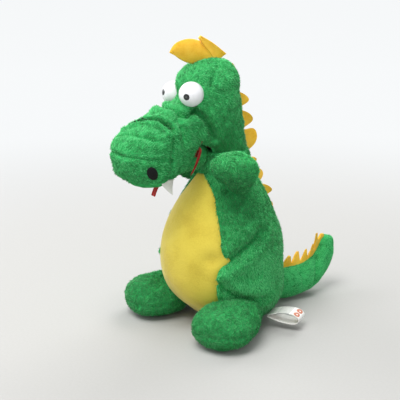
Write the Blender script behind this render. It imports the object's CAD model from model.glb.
"""The looks of a small sewn plush dinosaur, sitting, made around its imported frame.

Sizes are in millimetres and become metres when a mesh is made. +Z is up, the toy faces -Y and its
left side is +X. The head's sizes are in its own frame, whose origin is the middle of the neck ball.
"""
import logging
import math
from collections.abc import Callable, Sequence
from dataclasses import dataclass
from enum import Enum

import bmesh
import bpy
import numpy as np
from mathutils import Matrix, Vector
from mathutils.bvhtree import BVHTree
from mathutils.kdtree import KDTree


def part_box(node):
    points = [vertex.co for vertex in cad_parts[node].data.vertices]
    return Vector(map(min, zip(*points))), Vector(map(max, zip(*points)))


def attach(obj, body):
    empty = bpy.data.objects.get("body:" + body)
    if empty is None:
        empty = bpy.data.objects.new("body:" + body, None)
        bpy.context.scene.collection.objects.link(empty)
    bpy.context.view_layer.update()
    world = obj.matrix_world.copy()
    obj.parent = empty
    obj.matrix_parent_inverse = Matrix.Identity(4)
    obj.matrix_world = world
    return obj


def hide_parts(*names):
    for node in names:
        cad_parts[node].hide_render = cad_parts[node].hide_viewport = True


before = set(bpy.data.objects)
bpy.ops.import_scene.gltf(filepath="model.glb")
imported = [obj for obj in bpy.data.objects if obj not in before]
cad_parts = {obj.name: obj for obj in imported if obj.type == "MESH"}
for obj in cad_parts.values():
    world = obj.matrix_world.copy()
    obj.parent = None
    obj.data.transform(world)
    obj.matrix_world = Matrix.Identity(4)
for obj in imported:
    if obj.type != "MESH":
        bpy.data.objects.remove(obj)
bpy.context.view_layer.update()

LOG = logging.getLogger("plush_dinosaur")
MM = 0.001
NECK = np.array((0.0, -2.0, 106.0))
HEAD_TURNED = -10.0
Rows = Sequence[Sequence[float]]


class Side(Enum):
    """The toy's own left is +X."""

    LEFT = 1
    RIGHT = -1

    @property
    def word(self) -> str:
        """The side's name, as the frame's nodes and bodies spell it."""
        return self.name.lower()


# ---------------------------------------------------------------- nodes and finishes


def linear(code: str) -> tuple[float, float, float, float]:
    """Turn an sRGB hex colour into linear light.

    Args:
        code: six hex digits, with or without a hash.

    Returns:
        Red, green, blue and an alpha of 1.
    """
    digits = code.lstrip("#")
    values = [int(digits[place:place + 2], 16) / 255 for place in (0, 2, 4)]
    light = [v / 12.92 if v <= 0.04045 else ((v + 0.055) / 1.055) ** 2.4 for v in values]
    return (*light, 1.0)


def add_node(tree: bpy.types.NodeTree, kind: str, inputs: dict | None = None, **settings) -> bpy.types.Node:
    """Add one node with its settings and its inputs.

    Args:
        tree: the node tree to add to.
        kind: the node's type name.
        inputs: a value or an output socket for each input, by name or by number.
        **settings: attributes of the node.

    Returns:
        The new node.
    """
    node = tree.nodes.new(kind)
    for name, value in settings.items():
        setattr(node, name, value)
    for key, value in (inputs or {}).items():
        if isinstance(value, bpy.types.NodeSocket):
            tree.links.new(value, node.inputs[key])
        else:
            node.inputs[key].default_value = value
    return node


def new_material(name: str) -> tuple[bpy.types.Material, bpy.types.Node]:
    """A material with only a Principled shader and its output.

    Args:
        name: the material's name.

    Returns:
        The material and its Principled node.
    """
    material = bpy.data.materials.new(name)
    material.use_nodes = True
    tree = material.node_tree
    tree.nodes.clear()
    shader = add_node(tree, "ShaderNodeBsdfPrincipled")
    add_node(tree, "ShaderNodeOutputMaterial", {"Surface": shader.outputs["BSDF"]})
    return material, shader


def noise(tree: bpy.types.NodeTree, size_mm: float, detail: float = 2.0, where: object = None) -> bpy.types.NodeSocket:
    """A noise whose lumps are about size_mm across, on object coordinates unless where is given."""
    place = where or add_node(tree, "ShaderNodeTexCoord").outputs["Object"]
    made = add_node(tree, "ShaderNodeTexNoise", {"Vector": place, "Scale": 1 / (size_mm * MM), "Detail": detail})
    return made.outputs["Fac"]


def ramp(tree: bpy.types.NodeTree, factor: bpy.types.NodeSocket, stops: Sequence[tuple[float, str]]) -> bpy.types.NodeSocket:
    """A colour ramp of hex colours over a factor."""
    node = add_node(tree, "ShaderNodeValToRGB", {"Fac": factor})
    while len(node.color_ramp.elements) < len(stops):
        node.color_ramp.elements.new(0.5)
    for element, (place, code) in zip(node.color_ramp.elements, stops):
        element.position = place
        element.color = linear(code)
    return node.outputs["Color"]


def bump(tree: bpy.types.NodeTree, height: bpy.types.NodeSocket, depth_mm: float,
         under: bpy.types.NodeSocket | None = None) -> bpy.types.NodeSocket:
    """A bump of a real depth, on top of another bump if one is given."""
    inputs = {"Height": height, "Distance": depth_mm * MM, "Strength": 1.0}
    if under is not None:
        inputs["Normal"] = under
    return add_node(tree, "ShaderNodeBump", inputs).outputs["Normal"]


@dataclass(frozen=True)
class KnitGround:
    """Knitted polyester backing under dyed pile: matt, mottled, darker where the pile parts."""

    name: str = "plush_knit_ground"
    stops: tuple[tuple[float, str], ...] = ((0.3, "#227f41"), (0.5, "#319d55"), (0.72, "#42b569"))
    mottle_mm: float = 3.2
    fibre_mm: float = 0.7

    def build(self) -> bpy.types.Material:
        """Make the material."""
        material, shader = new_material(self.name)
        tree = material.node_tree
        mottle = noise(tree, self.mottle_mm, 4)
        tree.links.new(ramp(tree, mottle, self.stops), shader.inputs["Base Color"])
        tree.links.new(bump(tree, noise(tree, self.fibre_mm, 3), 0.4), shader.inputs["Normal"])
        shader.inputs["Roughness"].default_value = 0.95
        shader.inputs["Specular IOR Level"].default_value = 0.15
        return material


@dataclass(frozen=True)
class PileFibre:
    """Dyed polyester pile, cut short: a soft sheen at the edges and no sharp highlight.

    Plain values on the sockets, one shade to a material: the mottling comes from mixing shades.
    """

    name: str
    colour: str
    sheen: float = 0.35

    def build(self) -> bpy.types.Material:
        """Make the material."""
        material, shader = new_material(self.name)
        shader.inputs["Base Color"].default_value = linear(self.colour)
        shader.inputs["Roughness"].default_value = 0.85
        shader.inputs["Specular IOR Level"].default_value = 0.2
        shader.inputs["Sheen Weight"].default_value = self.sheen
        shader.inputs["Sheen Roughness"].default_value = 0.5
        shader.inputs["Sheen Tint"].default_value = linear("#bff0c4")
        return material


@dataclass(frozen=True)
class Velour:
    """Shorn knitted velour: even, soft, with faint darker patches where the nap is brushed."""

    name: str = "yellow_velour_cloth"
    stops: tuple[tuple[float, str], ...] = ((0.25, "#bfa638"), (0.5, "#d2bd47"), (0.8, "#dbc851"))

    def build(self) -> bpy.types.Material:
        """Make the material."""
        material, shader = new_material(self.name)
        tree = material.node_tree
        patches = noise(tree, 14, 2)
        nap = noise(tree, 0.9, 3)
        both = add_node(tree, "ShaderNodeMix", {0: 0.35, 2: patches, 3: nap}, data_type="FLOAT").outputs[0]
        tree.links.new(ramp(tree, both, self.stops), shader.inputs["Base Color"])
        tree.links.new(bump(tree, nap, 0.25, bump(tree, noise(tree, 3, 2), 0.25)), shader.inputs["Normal"])
        shader.inputs["Roughness"].default_value = 0.85
        shader.inputs["Specular IOR Level"].default_value = 0.2
        shader.inputs["Sheen Weight"].default_value = 0.3
        shader.inputs["Sheen Roughness"].default_value = 0.4
        return material


@dataclass(frozen=True)
class Felt:
    """Pressed wool-look felt: matted fibres in every direction, no thread, a dry surface."""

    name: str
    stops: tuple[tuple[float, str], ...]
    fibre_mm: float = 0.35

    def build(self) -> bpy.types.Material:
        """Make the material."""
        material, shader = new_material(self.name)
        tree = material.node_tree
        place = add_node(tree, "ShaderNodeTexCoord").outputs["Object"]
        warp = add_node(tree, "ShaderNodeTexNoise", {"Vector": place, "Scale": 500.0}).outputs["Color"]
        moved = add_node(tree, "ShaderNodeVectorMath", {0: warp, 1: place, 2: place, "Scale": 0.0015}, operation="SCALE")
        where = add_node(tree, "ShaderNodeVectorMath", {0: place, 1: moved.outputs["Vector"]}, operation="ADD")
        fibres = noise(tree, self.fibre_mm, 4, where.outputs["Vector"])
        clouds = noise(tree, 5, 2)
        both = add_node(tree, "ShaderNodeMix", {0: 0.5, 2: clouds, 3: fibres}, data_type="FLOAT").outputs[0]
        tree.links.new(ramp(tree, both, self.stops), shader.inputs["Base Color"])
        tree.links.new(bump(tree, fibres, 0.3), shader.inputs["Normal"])
        shader.inputs["Roughness"].default_value = 0.95
        shader.inputs["Specular IOR Level"].default_value = 0.15
        shader.inputs["Sheen Weight"].default_value = 0.2
        return material


@dataclass(frozen=True)
class MouldedPlastic:
    """Injection-moulded polished plastic: a clear, slightly uneven reflection."""

    name: str
    colour: str
    deeper: str
    roughness: float = 0.12
    clear: bool = False

    def build(self) -> bpy.types.Material:
        """Make the material."""
        material, shader = new_material(self.name)
        tree = material.node_tree
        flow = noise(tree, 6, 2)
        tree.links.new(ramp(tree, flow, ((0.3, self.deeper), (0.7, self.colour))), shader.inputs["Base Color"])
        tree.links.new(bump(tree, flow, 0.01), shader.inputs["Normal"])
        shader.inputs["Roughness"].default_value = self.roughness
        shader.inputs["IOR"].default_value = 1.49
        shader.inputs["Coat Weight"].default_value = 0.3
        shader.inputs["Coat Roughness"].default_value = 0.05
        if self.clear:
            shader.inputs["Transmission Weight"].default_value = 0.6
        return material


@dataclass(frozen=True)
class Thread:
    """Spun polyester thread: fine ridges across, where the plies turn round each other."""

    name: str
    colour: str
    deeper: str
    ply_mm: float = 0.45
    sheen: float = 0.1

    def build(self) -> bpy.types.Material:
        """Make the material."""
        material, shader = new_material(self.name)
        tree = material.node_tree
        place = add_node(tree, "ShaderNodeTexCoord").outputs["Object"]
        plies = add_node(tree, "ShaderNodeTexWave", {"Vector": place, "Scale": 1 / (self.ply_mm * MM * 6.3),
                                                     "Distortion": 1.5}, bands_direction="DIAGONAL").outputs["Fac"]
        tree.links.new(ramp(tree, plies, ((0.2, self.deeper), (0.8, self.colour))), shader.inputs["Base Color"])
        tree.links.new(bump(tree, plies, 0.12), shader.inputs["Normal"])
        shader.inputs["Roughness"].default_value = 0.7
        shader.inputs["Specular IOR Level"].default_value = 0.25
        shader.inputs["Sheen Weight"].default_value = self.sheen
        return material


@dataclass(frozen=True)
class SatinRibbon:
    """Woven satin label ribbon, printed on one face with plain rules and rings.

    The print lies on the piece's own UV map: U runs across the ribbon, V from the seam to the fold.
    """

    name: str = "satin_label_ribbon"

    def build(self) -> bpy.types.Material:
        """Make the material."""
        material, shader = new_material(self.name)
        tree = material.node_tree
        place = add_node(tree, "ShaderNodeUVMap", uv_map="ribbon").outputs["UV"]
        parts = add_node(tree, "ShaderNodeSeparateXYZ", {"Vector": place})
        across, along = parts.outputs["X"], parts.outputs["Y"]

        def math_node(operation: str, *values) -> bpy.types.NodeSocket:
            """One sum on plain numbers or sockets."""
            return add_node(tree, "ShaderNodeMath", dict(enumerate(values)), operation=operation).outputs[0]

        lines = math_node("PINGPONG", math_node("MULTIPLY", across, 11.0), 0.5)
        thin = math_node("LESS_THAN", lines, 0.19)
        in_block = math_node("MULTIPLY", math_node("GREATER_THAN", along, 0.12), math_node("LESS_THAN", along, 0.27))
        rules = math_node("MULTIPLY", thin, in_block)
        cell = add_node(tree, "ShaderNodeCombineXYZ", {
            "X": math_node("SUBTRACT", math_node("FRACT", math_node("MULTIPLY", across, 2.0)), 0.5),
            "Y": math_node("MULTIPLY", math_node("SUBTRACT", along, 0.385), 7.0)})
        reach = add_node(tree, "ShaderNodeVectorMath", {0: cell.outputs[0]}, operation="LENGTH").outputs["Value"]
        ring = math_node("COMPARE", reach, 0.29, 0.16)
        white = ramp(tree, noise(tree, 2, 2), ((0.3, "#dddcd6"), (0.7, "#f3f2ee")))
        ruled = add_node(tree, "ShaderNodeMix", {0: rules, 6: white, 7: linear("#868785")}, data_type="RGBA").outputs[2]
        drawn = add_node(tree, "ShaderNodeMix", {0: ring, 6: ruled, 7: linear("#bd5a22")}, data_type="RGBA").outputs[2]
        tree.links.new(drawn, shader.inputs["Base Color"])
        weave = add_node(tree, "ShaderNodeTexWave", {"Vector": place, "Scale": 60.0}, bands_direction="X").outputs["Fac"]
        tree.links.new(bump(tree, weave, 0.02), shader.inputs["Normal"])
        shader.inputs["Roughness"].default_value = 0.4
        shader.inputs["Sheen Weight"].default_value = 0.2
        return material


@dataclass(frozen=True)
class PaperSweep:
    """Matt paper backdrop: pale warm grey near the toy, lit from behind to near white farther away."""

    name: str = "paper_sweep"
    colour: str = "#b3b2b0"
    lit: str = "#f5f7f8"

    def build(self) -> bpy.types.Material:
        """Make the material."""
        material, shader = new_material(self.name)
        tree = material.node_tree
        place = add_node(tree, "ShaderNodeTexCoord").outputs["Object"]
        reach = add_node(tree, "ShaderNodeVectorMath", {0: place}, operation="LENGTH").outputs["Value"]
        far = add_node(tree, "ShaderNodeMapRange", {"Value": reach, "From Min": 0.14, "From Max": 0.6},
                       interpolation_type="SMOOTHSTEP").outputs["Result"]
        grain = ramp(tree, noise(tree, 1.5, 3), ((0.2, "#afaeab"), (0.8, self.colour)))
        fading = add_node(tree, "ShaderNodeMix", {0: far, 6: grain, 7: linear("#000000")}, data_type="RGBA")
        tree.links.new(fading.outputs[2], shader.inputs["Base Color"])
        shader.inputs["Emission Color"].default_value = linear(self.lit)
        tree.links.new(far, shader.inputs["Emission Strength"])
        shader.inputs["Roughness"].default_value = 0.9
        shader.inputs["Specular IOR Level"].default_value = 0.1
        return material


@dataclass
class Wardrobe:
    """Every finish, made once and shared by the pieces."""

    def __post_init__(self) -> None:
        """Make the materials."""
        self.ground = KnitGround().build()
        self.pile = [PileFibre(f"pile_fibre_{n}", colour).build()
                     for n, colour in enumerate(("#1f8643", "#36ad5c", "#45c06c", "#58d080"))]
        self.velour = Velour().build()
        self.orange = Felt("orange_felt_sheet", ((0.3, "#e0a320"), (0.5, "#f2bd38"), (0.75, "#f8cf50"))).build()
        self.red = Felt("red_felt_lining", ((0.3, "#6e1510"), (0.7, "#a12b20"))).build()
        self.white_felt = Felt("white_felt_sheet", ((0.3, "#cfcfc4"), (0.7, "#e9e9e2"))).build()
        self.ribbon = Thread("red_ribbon", "#bd2016", "#96140d", 0.8, 0.0).build()
        self.eye = MouldedPlastic("polished_white_plastic", "#e6e6e8", "#dedee0").build()
        self.pupil = MouldedPlastic("polished_black_plastic", "#151917", "#0d100f", 0.15).build()
        self.glint = MouldedPlastic("grey_plastic_dot", "#5d6360", "#4a504d", 0.25).build()
        self.washer = MouldedPlastic("clear_nylon_washer", "#e8eaea", "#d5d8d8", 0.3, True).build()
        self.black_thread = Thread("black_embroidery_thread", "#0d0f11", "#040505", 0.45, 0.0).build()
        self.green_thread = Thread("dark_green_sewing_thread", "#184d2b", "#0d2f19").build()
        self.satin = SatinRibbon().build()
        self.sweep = PaperSweep().build()


# ---------------------------------------------------------------- shapes


def smooth_rows(rows: Rows, count: int) -> np.ndarray:
    """A smooth curve (Catmull-Rom) through rows of numbers.

    Args:
        rows: one row of numbers for each station.
        count: how many points to read from it, or an array of places from 0 to 1.

    Returns:
        One row for each point.
    """
    table = np.array(rows, float)
    places = np.linspace(0, 1, count) if isinstance(count, int) else np.asarray(count)
    scaled = places * (len(table) - 1)
    first = np.minimum(scaled.astype(int), len(table) - 2)
    part = (scaled - first)[:, None]
    a, b = table[np.maximum(first - 1, 0)], table[first]
    c, d = table[first + 1], table[np.minimum(first + 2, len(table) - 1)]
    return b + 0.5 * part * (c - a + part * (2 * a - 5 * b + 4 * c - d + part * (3 * (b - c) + d - a)))


def unit(vectors: np.ndarray) -> np.ndarray:
    """Vectors of length one."""
    return vectors / np.maximum(np.linalg.norm(vectors, axis=-1, keepdims=True), 1e-9)


def head_to_world(points: Sequence[Sequence[float]] | np.ndarray) -> np.ndarray:
    """Points of the head's frame, in the toy's frame."""
    turn = math.radians(HEAD_TURNED)
    x, y, z = np.asarray(points, float).T
    return np.stack([x * math.cos(turn) - y * math.sin(turn), x * math.sin(turn) + y * math.cos(turn), z], 1) + NECK


def ripple(points: np.ndarray, size: float, seed: int) -> np.ndarray:
    """Smooth, repeatable unevenness, about -1 to 1, with lumps about size across."""
    draw = np.random.default_rng(seed)
    total = np.zeros(len(points))
    for _ in range(9):
        wave = unit(draw.normal(size=3)) * 2 * math.pi / (size * draw.uniform(0.8, 2.2))
        total += np.sin(points @ wave + draw.uniform(0, 2 * math.pi))
    return total / 3


def new_object(name: str, points: np.ndarray, faces: Sequence[Sequence[int]],
               materials: Sequence[bpy.types.Material] = ()) -> bpy.types.Object:
    """A smooth-shaded object at the origin, its faces pointing out.

    Args:
        name: the piece's name.
        points: its vertices, in millimetres.
        faces: its faces, as rows of vertex numbers.
        materials: its material slots.

    Returns:
        The object, linked to the scene.
    """
    mesh = bpy.data.meshes.new(name)
    mesh.from_pydata((np.asarray(points) * MM).tolist(), [], [list(face) for face in faces])
    bm = bmesh.new()
    bm.from_mesh(mesh)
    bmesh.ops.remove_doubles(bm, verts=bm.verts, dist=1e-7)
    bmesh.ops.recalc_face_normals(bm, faces=bm.faces)
    bm.to_mesh(mesh)
    bm.free()
    mesh.shade_smooth()
    for material in materials:
        mesh.materials.append(material)
    made = bpy.data.objects.new(name, mesh)
    bpy.context.scene.collection.objects.link(made)
    return made


def loft(name: str, middles: np.ndarray, sideways: np.ndarray, upward: np.ndarray, sides: int = 72,
         squareness: float = 2.0) -> bpy.types.Object:
    """A closed body laid round a row of sections.

    Args:
        name: the piece's name.
        middles: the middle of each section.
        sideways: each section's half width, as a vector.
        upward: each section's half height, as a vector.
        sides: how many points go round.
        squareness: 2 is an ellipse, and more is squarer.

    Returns:
        The closed body.
    """
    angles = np.arange(sides) * 2 * math.pi / sides
    across, up = np.cos(angles), np.sin(angles)
    full = (np.abs(across) ** squareness + np.abs(up) ** squareness) ** (-1 / squareness)
    rings = (middles[:, None] + sideways[:, None] * (across * full)[None, :, None]
             + upward[:, None] * (up * full)[None, :, None])
    count = len(middles)
    points = np.concatenate([rings.reshape(-1, 3), middles[:1], middles[-1:]])
    faces = []
    for ring in range(count - 1):
        for step in range(sides):
            after = (step + 1) % sides
            low, high = ring * sides, (ring + 1) * sides
            faces.append((low + step, low + after, high + after, high + step))
    for step in range(sides):
        after = (step + 1) % sides
        faces.append((count * sides, step, after))
        faces.append((count * sides + 1, (count - 1) * sides + step, (count - 1) * sides + after))
    return new_object(name, points, faces)


def upright_form(name: str, rows: Rows, count: int = 80) -> bpy.types.Object:
    """A body of level sections: rows of height, half width, front, back."""
    height, width, front, back = smooth_rows(rows, count).T
    zero = np.zeros(count)
    middles = np.stack([zero, (front + back) / 2, height], 1)
    return loft(name, middles, np.stack([np.maximum(width, 0.01), zero, zero], 1),
                np.stack([zero, np.maximum((back - front) / 2, 0.01), zero], 1))


def limb_form(name: str, rows: Rows, aim: Sequence[float], start: Sequence[float], count: int = 60) -> bpy.types.Object:
    """A straight limb: rows of distance, half width, half thickness along an aim."""
    forward = unit(np.array(aim, float))
    sideways = unit(np.cross(forward, (0, 0, 1)))
    upward = np.cross(sideways, forward)
    distance, width, thick = smooth_rows(rows, count).T
    middles = np.array(start, float) + forward * distance[:, None]
    return loft(name, middles, sideways * np.maximum(width, 0.01)[:, None],
                upward * np.maximum(thick, 0.01)[:, None])


def ball_rows(radius: float, width: float | None = None) -> list[tuple[float, float, float]]:
    """The round root of a limb: rows from its pole to just before its widest ring."""
    rows = []
    for degrees in (0, 30, 60):
        angle = math.radians(degrees)
        rows.append((-radius * math.cos(angle), (width or radius) * math.sin(angle), radius * math.sin(angle)))
    return rows


def bake(piece: bpy.types.Object) -> bpy.types.Object:
    """Replace a piece's mesh by what its modifiers make of it, and remove them."""
    bpy.context.view_layer.update()
    evaluated = piece.evaluated_get(bpy.context.evaluated_depsgraph_get())
    mesh = bpy.data.meshes.new_from_object(evaluated)
    old = piece.data
    piece.modifiers.clear()
    piece.data = mesh
    bpy.data.meshes.remove(old)
    return piece


def modified(piece: bpy.types.Object, kind: str, **settings) -> bpy.types.Object:
    """Add one modifier, set it and bake it."""
    modifier = piece.modifiers.new(kind.lower(), kind)
    for name, value in settings.items():
        setattr(modifier, name, value)
    return bake(piece)


def points_of(piece: bpy.types.Object) -> np.ndarray:
    """A piece's vertices, in millimetres."""
    flat = np.empty(len(piece.data.vertices) * 3, np.float32)
    piece.data.vertices.foreach_get("co", flat)
    return flat.reshape(-1, 3).astype(float) / MM


def normals_of(piece: bpy.types.Object) -> np.ndarray:
    """A piece's vertex normals."""
    flat = np.empty(len(piece.data.vertices) * 3, np.float32)
    piece.data.vertex_normals.foreach_get("vector", flat)
    return flat.reshape(-1, 3).astype(float)


def move_points(piece: bpy.types.Object, points: np.ndarray) -> None:
    """Give a piece's vertices new places, in millimetres."""
    piece.data.vertices.foreach_set("co", (points * MM).astype(np.float32).ravel())
    piece.data.update()


def reshape(piece: bpy.types.Object, rule: Callable[[np.ndarray], np.ndarray]) -> bpy.types.Object:
    """Move every vertex of a piece by a rule on its place."""
    move_points(piece, rule(points_of(piece)))
    return piece


def pressed_on_floor(points: np.ndarray, softness: float = 1.2) -> np.ndarray:
    """Soft forms go flat where they rest, with a rounded edge to the flat."""
    result = points.copy()
    low = result[:, 2]
    result[:, 2] = np.where(low < softness, np.maximum(low + softness, 0) ** 2 / (4 * softness), low)
    result[:, 2] = np.maximum(result[:, 2], 0.0)
    return result


# ---------------------------------------------------------------- seams and folds


@dataclass(frozen=True)
class Fold:
    """A crease along a path, or a seam in a plane.

    Attributes:
        path: points that the crease passes through; it's smoothed.
        depth: how far the cloth is drawn in, in millimetres.
        width: how wide the crease is.
        mirrored: the same crease is on the other side of x = 0.
        lip: how much the cloth swells beside it, as a share of depth.
    """

    path: tuple[tuple[float, float, float], ...]
    depth: float = 1.6
    width: float = 1.3
    mirrored: bool = False
    lip: float = 0.35
    head: bool = False

    def lines(self) -> list[np.ndarray]:
        """The crease's smooth line, and its mirror image."""
        line = smooth_rows(self.path, 6 * len(self.path))
        both = [line, line * (-1, 1, 1)] if self.mirrored else [line]
        return [head_to_world(one) for one in both] if self.head else both

    def near(self, points: np.ndarray, surface: BVHTree) -> np.ndarray:
        """Each point's distance from the crease, once the crease is laid on the surface."""
        best = np.full(len(points), 1e3)
        for line in self.lines():
            laid = np.array([np.array(surface.find_nearest(Vector(p * MM))[0]) / MM for p in line])
            low, high = laid.min(0) - 12, laid.max(0) + 12
            close = np.where(((points > low) & (points < high)).all(1))[0]
            some = points[close]
            for start, end in zip(laid[:-1], laid[1:]):
                run = end - start
                share = np.clip((some - start) @ run / max(run @ run, 1e-9), 0, 1)
                gap = np.linalg.norm(some - start - share[:, None] * run, axis=1)
                best[close] = np.minimum(best[close], gap)
        return best


@dataclass(frozen=True)
class PlaneSeam:
    """A seam where a plane cuts the form, inside a box."""

    point: tuple[float, float, float]
    normal: tuple[float, float, float]
    low: tuple[float, float, float] = (-200, -200, -200)
    high: tuple[float, float, float] = (200, 200, 300)
    depth: float = 0.9
    width: float = 0.9
    lip: float = 0.3
    head: bool = False

    def near(self, points: np.ndarray, surface: BVHTree) -> np.ndarray:
        """Each point's distance from the seam's plane, large outside the box."""
        if self.head:
            turn = math.radians(-HEAD_TURNED)
            x, y, z = (points - NECK).T
            points = np.stack([x * math.cos(turn) - y * math.sin(turn), x * math.sin(turn) + y * math.cos(turn), z], 1)
        gap = np.abs((points - np.array(self.point)) @ unit(np.array(self.normal, float)))
        outside = np.maximum(np.array(self.low) - points, points - np.array(self.high)).max(1)
        return gap + np.maximum(outside, 0) * 1.5


def surface_of(piece: bpy.types.Object) -> BVHTree:
    """A search tree of a piece's surface, in metres."""
    bm = bmesh.new()
    bm.from_mesh(piece.data)
    tree = BVHTree.FromBMesh(bm)
    bm.free()
    return tree


def crease(piece: bpy.types.Object, folds: Sequence[Fold | PlaneSeam], keep: np.ndarray | None = None) -> np.ndarray:
    """Draw the cloth in along seams and folds, and let it swell beside them.

    Args:
        piece: the skin to shape.
        folds: its seams and folds.
        keep: how firmly each vertex is held where it is, 0 to 1.

    Returns:
        How close each vertex is to a seam: 1 in it, 0 away from it.
    """
    points, normals = points_of(piece), normals_of(piece)
    surface = surface_of(piece)
    moved = np.zeros(len(points))
    closeness = np.zeros(len(points))
    for fold in folds:
        gap = fold.near(points, surface)
        moved -= fold.depth * np.exp(-((gap / fold.width) ** 2))
        moved += fold.depth * fold.lip * np.exp(-(((gap - 2.6 * fold.width) / (1.5 * fold.width)) ** 2))
        closeness = np.maximum(closeness, np.exp(-((gap / (fold.width * 0.75)) ** 2)) * min(1, fold.depth))
    if keep is not None:
        moved *= 1 - keep
    move_points(piece, points + normals * moved[:, None])
    return closeness


# ---------------------------------------------------------------- stuffing and pile


def stuffed(piece: bpy.types.Object, folds: Sequence[Fold | PlaneSeam], cloths: Sequence[bpy.types.Material],
            voxel: float = 4.0, swell: float = 1.5, fine: int = 2, rests: bool = False) -> bpy.types.Object:
    """Turn a form into a stuffed skin: even cloth, blown up against its seams.

    Args:
        piece: the form, whose mesh is replaced.
        folds: seams, which hold the cloth back.
        cloths: the skin's material slots; all of it is of the first.
        voxel: how large the cloth's faces are while it's simulated.
        swell: how far the cloth may move, in millimetres.
        fine: how many subdivisions follow.
        rests: the form is pressed flat on the floor.

    Returns:
        The same piece.
    """
    modified(piece, "REMESH", mode="VOXEL", voxel_size=voxel * MM, use_smooth_shade=True)
    start, normals = points_of(piece), normals_of(piece)
    surface = surface_of(piece)
    held = piece.vertex_groups.new(name="sewn")
    for fold in folds:
        for index in np.where(fold.near(start, surface) < voxel * 0.7)[0]:
            held.add([int(index)], 1.0, "ADD")
    begin = start - normals * swell * 0.55
    move_points(piece, begin)
    cloth = piece.modifiers.new("cloth", "CLOTH")
    cloth.settings.quality = 4
    cloth.settings.mass = 0.15
    cloth.settings.use_pressure = True
    cloth.settings.uniform_pressure_force = 4.0
    cloth.settings.effector_weights.gravity = 0.0
    cloth.settings.vertex_group_mass = "sewn"
    cloth.point_cache.frame_start = 1
    cloth.point_cache.frame_end = 20
    for number in range(1, 21):
        bpy.context.scene.frame_set(number)
    bake(piece)
    bpy.context.scene.frame_set(1)
    travel = points_of(piece) - begin
    length = np.linalg.norm(travel, axis=1, keepdims=True)
    move_points(piece, begin + travel * np.minimum(1, swell / np.maximum(length, 1e-6)))
    piece.vertex_groups.clear()
    modified(piece, "SMOOTH", factor=0.5, iterations=1)
    modified(piece, "SUBSURF", levels=fine, render_levels=fine)
    if rests:
        reshape(piece, pressed_on_floor)
    piece.data.shade_smooth()
    piece.data.materials.clear()
    for cloth_material in cloths:
        piece.data.materials.append(cloth_material)
    return piece


def put_attribute(piece: bpy.types.Object, name: str, values: np.ndarray) -> None:
    """Store a number or a vector at each vertex."""
    mesh = piece.data
    kind = "FLOAT_VECTOR" if values.ndim == 2 else "FLOAT"
    old = mesh.attributes.get(name)
    if old is not None:
        mesh.attributes.remove(old)
    made = mesh.attributes.new(name, kind, "POINT")
    made.data.foreach_set("vector" if values.ndim == 2 else "value", values.astype(np.float32).ravel())


@dataclass(frozen=True)
class PileCut:
    """How long and how thick the pile is, in millimetres, and how it lies."""

    length: float = 2.3
    width: float = 0.62
    spacing: float = 0.66
    lift: float = 0.75
    scatter: float = 0.55
    patch: float = 4.0


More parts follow.
